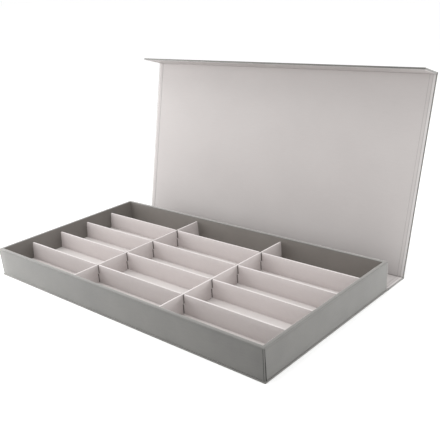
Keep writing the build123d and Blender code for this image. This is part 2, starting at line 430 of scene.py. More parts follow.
@dataclass(frozen=True)
class StudioFinish(Finish):
    """Matt white studio paper that glows a little, so that it stays white."""

    colour: Colour
    glow: float
    shade: float = 0.985
    roughness: float = 0.9
    specular: float = 0.2

    def paint(self, nodes: Nodes, shader: Node) -> None:
        """Faint clouds in the white.

        Args:
            nodes: as for Finish.
            shader: as for Finish.
        """
        clouds = nodes.noise(nodes.place(), scale=6.0, detail=4.0)
        dark = tuple(self.shade * part for part in self.colour)
        nodes.feed(shader, {
            "Base Color": nodes.mix(clouds, rgba(dark), rgba(self.colour)),
            "Roughness": self.roughness,
            "Specular IOR Level": self.specular,
            "Emission Color": rgba(WHITE),
            "Emission Strength": self.glow,
        })


COVER = PaperFinish(
    "grey_wrap_paper", (0.031, 0.030, 0.027), (0.083, 0.081, 0.072), (0.165, 0.162, 0.153), wear_and_highlight_amount=0.5,
    fibres=900.0, mottle=16.0, mottle_share=0.65, roughness=0.42, roughness_spread=0.2,
    sheen=1.0, sheen_roughness=0.45, sheen_tint=(1.0, 0.985, 0.955),
)
# Lighter copy of the cover paper for the tray's inner faces: painted light, brighter than the same paper
# outside to stand for the light inside the tray.
COVER_LIT_INSIDE = replace(
    COVER, name="grey_wrap_paper_painted_lighter_inside", dark=(0.146, 0.133, 0.120), light=(0.182, 0.166, 0.151),
    wear_and_highlight_colour=(0.22, 0.21, 0.20), wear_and_highlight_amount=0.3, mottle_share=0.6, roughness=0.5, roughness_spread=0.1,
    sheen=0.6, sheen_roughness=0.4, sheen_tint=(1.0, 0.965, 0.93),
)
LINING = PaperFinish(
    "pale_lining_sheet", (0.455, 0.428, 0.420), (0.490, 0.463, 0.453), (0.62, 0.60, 0.59), wear_and_highlight_amount=0.6,
    fibres=650.0, mottle=14.0, mottle_share=0.5, roughness=0.7, specular=0.35,
)
# Darker copy of the lining for the faces on the sheet's steps: painted shade along the steps.
LINING_STEP_SHADE = replace(
    LINING, name="painted_lining_step_shade", dark=(0.335, 0.315, 0.310), light=(0.375, 0.352, 0.346),
    wear_and_highlight_colour=(0.45, 0.43, 0.42), wear_and_highlight_amount=0.2,
)
DIVIDER = PaperFinish(
    "divider_paper", (0.585, 0.540, 0.530), (0.640, 0.594, 0.584), (0.74, 0.71, 0.70), wear_and_highlight_amount=0.6,
    fibres=520.0, stretch=(0.25, 0.25, 1.0), mottle=26.0, mottle_share=0.4, roughness=0.74, specular=0.3,
)
FLOOR_PAPER = PaperFinish(
    "floor_liner_paper", (0.61, 0.578, 0.565), (0.66, 0.627, 0.612), (0.70, 0.67, 0.66),
    fibres=600.0, mottle=20.0, mottle_share=0.5, roughness=0.72, specular=0.35,
)
# Dark board finish for the faces beside each slot's crossing: painted shade where the crossing boards meet.
SLOT_SHADE = PaperFinish(
    "painted_slot_shade", (0.150, 0.136, 0.130), (0.205, 0.188, 0.180), (0.30, 0.28, 0.27),
    fibres=800.0, mottle=40.0, mottle_share=0.4, roughness=0.85, specular=0.2,
)
# Near-black finish for thin strips at the front corners: painted shade of the crevices there.
SEAM_SHADE = PaperFinish(
    "painted_crevice_shade", (0.010, 0.010, 0.009), (0.018, 0.018, 0.016), (0.05, 0.05, 0.047),
    fibres=900.0, mottle=30.0, mottle_share=0.4, roughness=0.8, specular=0.2,
)
TAPE = PaperFinish(
    "corner_tape", (0.66, 0.60, 0.48), (0.72, 0.66, 0.55), (0.75, 0.70, 0.6), wear_and_highlight_amount=0.5, roughness=0.65,
)
GREYBOARD = BoardFinish("bare_greyboard", (0.30, 0.28, 0.25), (0.16, 0.15, 0.14))
STEEL = MetalFinish("plated_steel", (0.62, 0.62, 0.60))


# ---- meshes


@dataclass(frozen=True)
class ProfilePoint:
    """Point of a swept profile: inset from the outer edge, height, and whether it is on a rounded edge."""

    inset: float
    height: float
    is_round: bool = False


def rounded_profile(corners: Sequence[Triple], steps: int = 4) -> list[ProfilePoint]:
    """Profile with its corners rounded.

    Args:
        corners: inset, height and radius of each corner; a radius of 0 leaves it sharp, as at the ends.
        steps: faces round one corner.
    Returns:
        The profile's points in the same order.
    """
    points: list[ProfilePoint] = []
    for index, (inset, height, radius) in enumerate(corners):
        if radius <= 0:
            points.append(ProfilePoint(inset, height))
            continue
        here = Vector((inset, height))
        back, ahead = ((Vector(corners[near][:2]) - here).normalized() for near in (index - 1, index + 1))
        half_angle = back.angle(ahead) / 2
        centre = here + (back + ahead).normalized() * (radius / math.sin(half_angle))
        run = radius / math.tan(half_angle)
        start, end = ((here + way * run - centre).normalized() for way in (back, ahead))
        for step in range(steps + 1):
            turned = start.slerp(end, step / steps) * radius
            points.append(ProfilePoint(centre.x + turned.x, centre.y + turned.y, True))
    return points


def divided(start: float, end: float, step: float) -> list[float]:
    """Evenly spaced values from start to end, about a step apart, both ends included."""
    count = max(1, round(abs(end - start) / step))
    return [start + (end - start) * index / count for index in range(count + 1)]


def smooth_step(share: float) -> float:
    """Eased share, held between 0 and 1."""
    held = min(1.0, max(0.0, share))
    return held * held * (3 - 2 * held)


class PieceMesh:
    """Faces of one piece, gathered in millimetres in a frame of their own."""

    def __init__(self) -> None:
        """Starts an empty mesh with the rub layer."""
        self.bm = bmesh.new()
        self.rub = self.bm.faces.layers.float.new(RUB)

    def face(self, verts: Sequence[BMVert], rub: float = 0.0) -> None:
        """Adds one face, without the corners that fall together.

        Args:
            verts: the face's corners in order.
            rub: share of paler edge on it, wear and painted highlight.
        """
        pairs = zip([verts[-1], *verts], verts)
        kept = [vert for before, vert in pairs if (vert.co - before.co).length > SAME_POINT]
        if len(kept) > 2:
            self.bm.faces.new(kept)[self.rub] = rub

    def rows(self, points: Iterable[Iterable[Triple]]) -> list[list[BMVert]]:
        """Vertices for rows of points."""
        return [[self.bm.verts.new(point) for point in row] for row in points]

    def skin(
        self,
        rows: Sequence[Sequence[BMVert]],
        close_rows: bool = False,
        rub: Callable[[int, int], float] = lambda row, place: 0.0,
    ) -> None:
        """Covers rows of vertices with faces. Each row is a closed ring.

        Args:
            rows: vertices, row by row.
            close_rows: joins the last row to the first.
            rub: share of wear and painted highlight of the face at a row and a place in it.
        """
        row_count, length = len(rows), len(rows[0])
        for index in range(row_count if close_rows else row_count - 1):
            upper, lower = rows[index], rows[(index + 1) % row_count]
            for place in range(length):
                after = (place + 1) % length
                self.face((upper[place], upper[after], lower[after], lower[place]), rub(index, place))

    def bar(self, points: Iterable[Iterable[Triple]]) -> None:
        """Adds a closed bar.

        Args:
            points: rows of points, each round one section.
        """
        rows = self.rows(points)
        self.skin(rows)
        for row in (rows[0], rows[-1]):
            self.face(row)

    def cap(self, row: Sequence[BMVert]) -> None:
        """Closes a folded sheet's end.

        Args:
            row: its section, along one skin and back along the other.
        """
        for place in range(len(row) // 2 - 1):
            self.face((row[place], row[place + 1], row[-2 - place], row[-1 - place]))

    def slab(
        self,
        us: Sequence[float],
        vs: Sequence[float],
        top: Surface,
        bottom: Surface,
        present: Callable[[float, float], bool] = lambda u, v: True,
    ) -> None:
        """Closed slab over a grid of cells.

        Args:
            us: grid lines one way.
            vs: grid lines the other way.
            top: point of the upper skin at a grid crossing.
            bottom: point of the lower skin there.
            present: whether the cell round a middle point is there.
        """
        made: dict[tuple[Surface, int, int], BMVert] = {}

        def corner(skin: Surface, i: int, j: int) -> BMVert:
            """The vertex at a grid crossing, made once.

            Args:
                skin: upper or lower skin.
                i: place among the grid lines one way.
                j: place among those the other way.
            Returns:
                The vertex.
            """
            if (skin, i, j) not in made:
                made[skin, i, j] = self.bm.verts.new(skin(us[i], vs[j]))
            return made[skin, i, j]

        cells = {
            (i, j)
            for i in range(len(us) - 1)
            for j in range(len(vs) - 1)
            if present((us[i] + us[i + 1]) / 2, (vs[j] + vs[j + 1]) / 2)
        }
        for i, j in sorted(cells):
            loop = ((i, j), (i + 1, j), (i + 1, j + 1), (i, j + 1))
            self.face([corner(top, *key) for key in loop])
            self.face([corner(bottom, *key) for key in reversed(loop)])
            beside = ((i, j - 1), (i + 1, j), (i, j + 1), (i - 1, j))
            for neighbour, a, b in zip(beside, loop, (*loop[1:], loop[0])):
                if neighbour not in cells:
                    # Side faces, such as the boards' top edges, take the paler paper: wear and painted
                    # highlight.
                    side = corner(top, *b), corner(top, *a), corner(bottom, *a), corner(bottom, *b)
                    self.face(side, rub=1.0)

    def round_edges(self, radius: float, segments: int = 2, sharper_than: float = 40.0) -> None:
        """Rounds the sharp edges and marks the new faces as worn and lit: wear and painted highlight.

        Args:
            radius: of the round.
            segments: faces across it.
            sharper_than: least angle between the faces beside an edge, in degrees.
        """
        limit = math.radians(sharper_than)
        edges = [edge for edge in self.bm.edges if edge.is_manifold and edge.calc_face_angle(0.0) > limit]
        result = bmesh.ops.bevel(
            self.bm, geom=edges, offset=radius, offset_type="OFFSET", segments=segments, profile=0.5,
            affect="EDGES", clamp_overlap=True,
        )
        for made in result["faces"]:
            made[self.rub] = 1.0

    def second_finish(self, chosen: Callable[[BMFace], bool]) -> None:
        """Gives the piece's second finish to some faces.

        Args:
            chosen: whether a face takes it.
        """
        for made in self.bm.faces:
            made.material_index = int(chosen(made))

    def finish(
        self,
        name: str,
        finishes: Sequence[Finish],
        placing: Matrix | None = None,
        smooth_below: float = 32.0,
    ) -> Object:
        """Turns the faces into an object in metres.

        Args:
            name: the piece's name.
            finishes: its finishes, in the order of the faces' material indices.
            placing: the panel's frame, in millimetres.
            smooth_below: angle in degrees under which an edge is shaded smooth.
        Returns:
            The object, linked to the scene.
        """
        bmesh.ops.remove_doubles(self.bm, verts=self.bm.verts, dist=WELD)
        bmesh.ops.recalc_face_normals(self.bm, faces=self.bm.faces)
        open_edges = sum(1 for edge in self.bm.edges if not edge.is_manifold)
        if open_edges:
            LOG.warning("%s has %d open edges", name, open_edges)
        to_metres = Matrix.Scale(MM, 4) @ (placing or Matrix.Identity(4))
        bmesh.ops.transform(self.bm, matrix=to_metres, verts=self.bm.verts)
        mesh = bpy.data.meshes.new(name)
        self.bm.to_mesh(mesh)
        self.bm.free()
        for finish in finishes:
            mesh.materials.append(finish.material())
        mesh.shade_smooth()
        mesh.set_sharp_from_angle(angle=math.radians(smooth_below))
        return linked(name, mesh)


def linked(name: str, data: bpy.types.ID) -> Object:
    """A new object in the scene.

    Args:
        name: its name.
        data: its mesh, light or camera.
    Returns:
        The object.
    """
    made = bpy.data.objects.new(name, data)
    bpy.context.scene.collection.objects.link(made)
    return made


def seat(piece: Object, body: Body, slot: Slot, *nodes: str) -> None:
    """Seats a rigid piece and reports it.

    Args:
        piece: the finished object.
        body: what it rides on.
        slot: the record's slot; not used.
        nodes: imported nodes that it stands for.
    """
    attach(piece, body.value)
    if nodes:
        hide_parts(*nodes)
    LOG.info("%s rides on %s: %d faces", piece.name, body.value, len(piece.data.polygons))


def dress(finish: Finish, *nodes: str) -> None:
    """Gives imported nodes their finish.

    Args:
        finish: what they are made of.
        nodes: their names.
    """
    for node in nodes:
        slots = frame["nodes"][node].data.materials
        slots.clear()
        slots.append(finish.material())
        LOG.info("%s keeps its packed shape, in %s", node, finish.name)


# ---- the outline that papers are swept round


@dataclass(frozen=True)
class Station:
    """Place along a rounded outline: on a corner's arc, or a share of the way from there to the next."""

    corner: int
    angle: float
    share: float = 0.0

    @property
    def on_arc(self) -> bool:
        """Whether the station is on a corner's arc."""
        return self.share == 0


@dataclass(frozen=True)
class RoundedOutline:
    """Rectangle with rounded corners, given by its outer faces."""

    half_x: float
    low_y: float
    high_y: float
    radius: float
    corner_steps: int = 5
    side_step: float = 15.0

    def corner_point(self, corner: int, angle: float, inset: float) -> Flat:
        """Point of a corner at an inset. Insets past the radius meet in a sharp corner.

        Args:
            corner: 0 to 3, anticlockwise from the high x, low y corner.
            angle: direction on the arc, in radians.
            inset: distance in from the outer face.
        Returns:
            x and y.
        """
        side_x, side_y = ((1, -1), (1, 1), (-1, 1), (-1, -1))[corner]
        edge_x, edge_y = side_x * self.half_x, self.high_y if side_y > 0 else self.low_y
        square, reach = max(inset, self.radius), max(self.radius - inset, 0.0)
        return (
            edge_x - side_x * square + reach * math.cos(angle),
            edge_y - side_y * square + reach * math.sin(angle),
        )

    def place(self, station: Station, inset: float) -> Flat:
        """Point of a station.

        Args:
            station: on the outline.
            inset: distance in from the outer face.
        Returns:
            x and y.
        """
        first = self.corner_point(station.corner, station.angle, inset)
        if station.on_arc:
            return first
        second = self.corner_point((station.corner + 1) % 4, station.angle, inset)
        return tuple(a + (b - a) * station.share for a, b in zip(first, second))

    def stations(self) -> list[Station]:
        """Stations all the way round.

        Returns:
            The stations, anticlockwise from the high x, low y corner.
        """
        found: list[Station] = []
        for corner in range(4):
            start = math.radians(-90 + 90 * corner)
            end = start + math.pi / 2
            steps = range(self.corner_steps + 1)
            found += [Station(corner, start + (end - start) * step / self.corner_steps) for step in steps]
            here, there = self.corner_point(corner, end, 0), self.corner_point((corner + 1) % 4, end, 0)
            count = max(1, round(math.dist(here, there) / self.side_step))
            found += [Station(corner, end, step / count) for step in range(1, count)]
        return found


# ---- the tray


@dataclass
class Tray:
    """Wrapped board tray: one grey sheet round the walls, and end sheets lapped over the short sides."""

    length: float = 540.0
    depth: float = 285.0
    height: float = 46.0
    bottom: float = 2.6
    board_wall: float = 3.0
    wall: float = 6.0
    paper: float = 0.3
    floor_top: float = 5.1
    card_top: float = 11.0
    card_gap: float = 0.05
    turn_in: float = 15.0
    corner_radius: float = 0.9
    rim_radius: float = 0.9
    foot_radius: float = 0.3
    inner_rim_radius: float = 0.15
    corner_wear_and_highlight: float = 0.8
    row_height: float = 6.0
    rows_end: float = 4.0
    ripple: float = 0.12
    ripple_length: float = 38.0
    ripple_height: float = 30.0
    ripple_fade: float = 6.0
    calm_foot: float = 4.0
    calm_rim: float = 1.5
    lap_inset: float = 1.7
    lap_skew: float = 1.4
    lap_rise: float = 0.09
    lap_foot: float = 0.25
    lap_end: float = 0.4
    lap_gap: float = 0.05
    lap_cell: float = 15.0
    crease_inset: float = 1.5
    crease_width: float = 0.6
    seam_inset: float = 0.9
    seam_width: float = 0.8
    seam_skew: float = 0.9
    seam_foot: float = 0.4
    seam_proud: float = 0.04
    seam_sunk: float = 0.08

    def wave(self, x: float, y: float, z: float) -> float:
        """How far glue and board lift the wrap.

        Args:
            x: place along the tray, on the wrap's outside.
            y: place across it.
            z: height.
        Returns:
            The lift, nil near the foot and the rim.
        """
        fade = smooth_step((z - self.calm_foot) / self.ripple_fade)
        fade *= smooth_step((self.height - self.calm_rim - z) / self.ripple_fade)
        place = Vector((x / self.ripple_length, y / self.ripple_length, z / self.ripple_height))
        return self.ripple * fade * noise.noise(place)

    def side_rows(self, inset: float) -> list[Triple]:
        """Profile corners up the outside, close enough together to follow the waves."""
        return [(inset, z, 0) for z in divided(self.row_height, self.height - self.rows_end, self.row_height)]

    def on_inner_side(self, made: BMFace, slack: float) -> bool:
        """Whether a face is on the walls' inner side.

        Args:
            made: the face.
            slack: play in its inset.
        Returns:
            True if all its corners are there, above the floor.
        """
        return all(
            min(self.length / 2 - abs(vert.co.x), self.depth / 2 - abs(vert.co.y)) > self.wall - slack
            and vert.co.z > self.floor_top
            for vert in made.verts
        )

    def build_wrap(self) -> None:
        """Sheet round the walls: turned in below, up the outside, over the rim and down the inside."""
        rim, paper, shelf = self.height, self.paper, self.card_top + self.card_gap
        profile = rounded_profile([
            (self.turn_in, self.bottom, 0), (0, self.bottom, self.foot_radius), *self.side_rows(0),
            (0, rim, self.rim_radius), (self.wall, rim, self.rim_radius), (self.wall, shelf, 0),
            (self.board_wall, shelf, 0), (self.board_wall, self.floor_top, 0),
        ]) + rounded_profile([
            (self.board_wall - paper, self.floor_top, 0),
            (self.board_wall - paper, rim - paper, self.inner_rim_radius),
            (paper, rim - paper, self.rim_radius - paper),
            (paper, self.bottom + paper, 0), (self.turn_in, self.bottom + paper, 0),
        ])
        outline = RoundedOutline(self.length / 2, -self.depth / 2, self.depth / 2, self.corner_radius)
        stations = outline.stations()

        def section(station: Station) -> list[Triple]:
            """The sheet's section, with its waves.

            Args:
                station: on the outline.
            Returns:
                The section's points.
            """
            row = []
            for point in profile:
                x, y = outline.place(station, point.inset)
                if point.inset == 0 and not station.on_arc:
                    lift = self.wave(x, y, point.height)
                    if abs(x) > self.length / 2 - self.corner_radius:
                        x += math.copysign(lift, x)
                    else:
                        y += math.copysign(lift, y)
                row.append((x, y, point.height))
            return row

        def rub(row: int, place: int) -> float:
            """Wear and painted highlight of a face, on the rim's top and rounds and on the upright corners.

            Args:
                row: the station before it.
                place: the profile's point before it.
            Returns:
                Share of wear and painted highlight.
            """
            here, after = profile[place], profile[(place + 1) % len(profile)]
            if min(here.height, after.height) > rim - self.rim_radius - NEAR:
                return 1.0
            upright = stations[row].on_arc and stations[(row + 1) % len(stations)].on_arc
            return self.corner_wear_and_highlight if upright and max(here.inset, after.inset) <= NEAR else 0.0

        mesh = PieceMesh()
        mesh.skin(mesh.rows(map(section, stations)), close_rows=True, rub=rub)
        # Inner faces take the lighter copy of the cover paper, painted light.
        mesh.second_finish(lambda made: self.on_inner_side(made, slack=0.05))
        seat(mesh.finish("tray_wrap", [COVER, COVER_LIT_INSIDE]), Body.TRAY, Slot.COVER, "tray_wrap_paper")

    def build_end_sheet(self, name: str, side: int) -> None:
        """Sheet over one short side, whose cut edges stand just inside the corners.

        Args:
            name: the piece's name.
            side: 1 for the right end, -1 for the left.
        """
        rim, end = self.height, self.length / 2

        def skin(rise: float) -> list[ProfilePoint]:
            """Profile of one skin of the sheet.

            Args:
                rise: distance out from the wrap.
            Returns:
                The profile.
            """
            top, radius, inside = rim + rise, self.rim_radius + rise, self.wall + rise
            return rounded_profile([
                (-rise, self.bottom + self.lap_foot, 0), *self.side_rows(-rise),
                (-rise, top, radius), (inside, top, radius), (inside, self.card_top + self.lap_end, 0),
            ])

        profile, buried = skin(self.lap_rise), skin(-self.lap_rise)
        edge = self.depth / 2 - self.lap_inset
        inside = self.depth / 2 - self.wall - self.lap_gap

        def section(share: float) -> list[Triple]:
            """The sheet's section.

            Args:
                share: of the sheet's half width, where the section is.
            Returns:
                The section's points, along the outer skin and back along the buried one.
            """
            above, below = [], []
            for point, under in zip(profile, buried):
                outer = point.inset <= self.rim_radius + NEAR
                drop = smooth_step((rim - point.height) / rim) if outer else 0.0
                lap = point.inset < self.wall - self.rim_radius
                y = share * (edge - self.lap_skew * drop if lap else inside)
                x = end - point.inset
                if point.inset < 0:
                    x += self.wave(side * x, y, point.height)
                above.append((side * x, y, point.height))
                below.append((side * (end - under.inset), y, under.height))
            return above + below[::-1]

        def rub(row: int, place: int) -> float:
            """Wear and painted highlight on the outer skin's rounds."""
            return float(place + 1 < len(profile) and profile[place].is_round)

        mesh = PieceMesh()
        rows = mesh.rows(map(section, divided(-1.0, 1.0, self.lap_cell / edge)))
        mesh.skin(rows, rub=rub)
        mesh.cap(rows[0])
        mesh.cap(rows[-1])
        # Inner faces take the lighter copy of the cover paper, painted light.
        mesh.second_finish(lambda made: self.on_inner_side(made, slack=0.1))
        seat(mesh.finish(name, [COVER, COVER_LIT_INSIDE]), Body.TRAY, Slot.COVER)

    def build_seam_shades(self) -> None:
        """Near-black strips at the front corners, a painted shade of the crevices where the front sheet has
        its crease and the end sheets stop.
        """
        mesh = PieceMesh()
        high, low = self.height - self.rim_radius, self.bottom + self.seam_foot
        heights = divided(low, high, self.row_height)

        def ring(near: float, far: float) -> tuple[Flat, ...]:
            """Corners of a line's section: how far along the sheet, and how far out of it."""
            proud, sunk = self.seam_proud, -self.seam_sunk
            return (near, proud), (far, proud), (far, sunk), (near, sunk)

        def gap_end(z: float) -> float:
            """Where the end sheet's cut edge starts at a height."""
            return self.seam_inset + self.seam_width + self.seam_skew * (high - z) / (high - low)

        crease = ring(self.crease_inset, self.crease_inset + self.crease_width)
        front = -self.depth / 2
        for side in (-1, 1):
            end = side * self.length / 2
            mesh.bar([[(end - side * along, front - out, z) for along, out in crease] for z in heights])
            mesh.bar([
                [(end + side * out, front + along, z) for along, out in ring(self.seam_inset, gap_end(z))]
                for z in heights
            ])
        seat(mesh.finish("wrap_corner_seam_shades", [SEAM_SHADE]), Body.TRAY, Slot.COVER)

    def build(self) -> None:
        """Builds the tray's papers and dresses its boards, stays, plates and floor."""
        self.build_wrap()
        self.build_end_sheet("wrap_end_sheet_left", -1)
        self.build_end_sheet("wrap_end_sheet_right", 1)
        self.build_seam_shades()
        walls = (f"{side}_wall_board" for side in ("front", "back", "left", "right"))
        dress(GREYBOARD, "tray_bottom_board", *walls)
        dress(TAPE, "corner_stays")
        dress(STEEL, "keeper_plates")
        dress(FLOOR_PAPER, "floor_liner")


# ---- the divider insert


@dataclass
class DividerInsert:
    """Slotted boards that halve into each other and stand on the floor liner."""

    inner_length: float = 534.0
    inner_depth: float = 279.0
    wall_pad: float = 3.0
    columns: int = 3
    rows: int = 5
    board: float = 2.5
    bottom: float = 11.0
    top: float = 40.0
    end_play: float = 0.5
    cross_lean: float = 5.0
    long_lean: float = 1.5
    slot_play: float = 1.9
    shade_reach: float = 0.35
    shade_top: float = 0.5
    slot_relief: float = 0.4
    edge_round: float = 0.3
    cell_along: float = 12.0
    cell_up: float = 9.0
    bow: float = 0.55
    bow_at_foot: float = 0.4
    bow_noise: Triple = (17.0, 3.7, 5.0)
    front_shift: float = -0.9
    front_lean: float = -0.6

    def spots(self, count: int, inner: float) -> list[float]:
        """Places of the dividers that part a length into equal cells."""
        cell = (inner - (count - 1) * self.board) / count
        return [(index - (count - 2) / 2) * (cell + self.board) for index in range(count - 1)]

    def build_divider(
        self,
        node: str,
        length: float,
        place: float,
        crossings: Sequence[float],
        along_x: bool = True,
        foot: float = 0.0,
    ) -> None:
        """One board with its slots.

        Args:
            node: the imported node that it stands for.
            length: of the board.
            place: where it stands across its length.
            crossings: middles of its slots.
            along_x: true for the boards along the tray, slotted from above.
            foot: how far its foot has slid aside.
        """
        half_slot, half_shade = (self.board / 2 + reach for reach in (self.slot_play, self.shade_reach))
        slot_end = (self.top + self.bottom + (-1 if along_x else 1) * self.slot_relief) / 2
        reaches = (-half_slot, -half_shade, half_shade, half_slot)
        cuts = [spot + reach for spot in crossings for reach in reaches]
        bounds = [-length / 2, *cuts, length / 2]
        us = [u for start, end in zip(bounds, bounds[1:]) for u in divided(start, end, self.cell_along)[:-1]]
        vs = sorted({self.bottom, slot_end, self.top, *divided(self.bottom, self.top, self.cell_up)})
        spans = [-length / 2, *crossings, length / 2]
        lean = self.cross_lean if along_x else self.long_lean

        def rise(v: float) -> float:
            """Share of the board's height."""
            return (v - self.bottom) / (self.top - self.bottom)

        def present(u: float, v: float) -> bool:
            """Whether board is left at a place, beside or past the slots."""
            in_slot = any(abs(u - spot) < half_slot for spot in crossings)
            return not (in_slot and (v > slot_end if along_x else v < slot_end))

        def bent(u: float, v: float) -> float:
            """How far the board bows aside, different in each span.

            Args:
                u: place along the board.
                v: height.
            Returns:
                The bow, nil at the board's ends and crossings.
            """
            index = max(index for index, start in enumerate(spans[:-1]) if start <= u)
            start, end = spans[index:index + 2]
            arch = math.sin(math.pi * (u - start) / (end - start)) ** 2
            length, step, level = self.bow_noise
            aside = noise.noise(Vector((place / length, index * step, level)))
            return self.bow * arch * aside * (self.bow_at_foot + (1 - self.bow_at_foot) * rise(v))

        def skin(offset: float) -> Surface:
            """One skin of the board.

            Args:
                offset: from the board's middle.
            Returns:
                A function that gives the skin's point at u and v.
            """
            def at(u: float, v: float) -> Triple:
                """Point of the skin. Past the last slots the board's ends lean in towards the top.

                Args:
                    u: place along the board.
                    v: height.
                Returns:
                    The point.
                """
                across = place + offset + bent(u, v) + foot * (1 - rise(v))
                leaning = max(0.0, (abs(u) - cuts[-1]) / (length / 2 - cuts[-1]))
                along = u - math.copysign(lean * leaning * rise(v), u)
                return (along, across, v) if along_x else (across, along, v)
            return at

        def in_slot_shade(made: BMFace) -> bool:
            """Whether a face takes the painted shade beside a slot's crossing, where the boards meet.

            Args:
                made: the face.
            Returns:
                True if it does.
            """
            middle, normal = made.calc_center_median(), made.normal
            u, along, across = (middle.x, *normal.xy) if along_x else (middle.y, normal.y, normal.x)
            near = any(abs(u - spot) < half_shade for spot in crossings)
            upright = abs(across) > max(abs(along), abs(normal.z))
            return near and upright and middle.z < self.top - self.shade_top

        mesh = PieceMesh()
        mesh.slab([*us, length / 2], vs, skin(self.board / 2), skin(-self.board / 2), present)
        mesh.bm.normal_update()
        # Faces beside the crossings take the painted shade.
        mesh.second_finish(in_slot_shade)
        mesh.round_edges(self.edge_round)
        seat(mesh.finish(node + "_board", [DIVIDER, SLOT_SHADE]), Body.TRAY, Slot.DIVIDER, node)

    def build(self) -> None:
        """Builds every divider. The front one has slid to the front and leans, in its slots' play."""
        xs = self.spots(self.columns, self.inner_length)
        ys = self.spots(self.rows, self.inner_depth)
        ys[0] += self.front_shift
        play = 2 * (self.end_play + self.wall_pad)
        for side, x in zip(("left", "right"), xs):
            self.build_divider(f"long_divider_{side}", self.inner_depth - play, x, ys, along_x=False)
        for index, y in enumerate(ys):
            foot = 0.0 if index else self.front_lean
            self.build_divider(f"cross_divider_{index + 1}", self.inner_length - play, y, xs, foot=foot)


# ---- the case


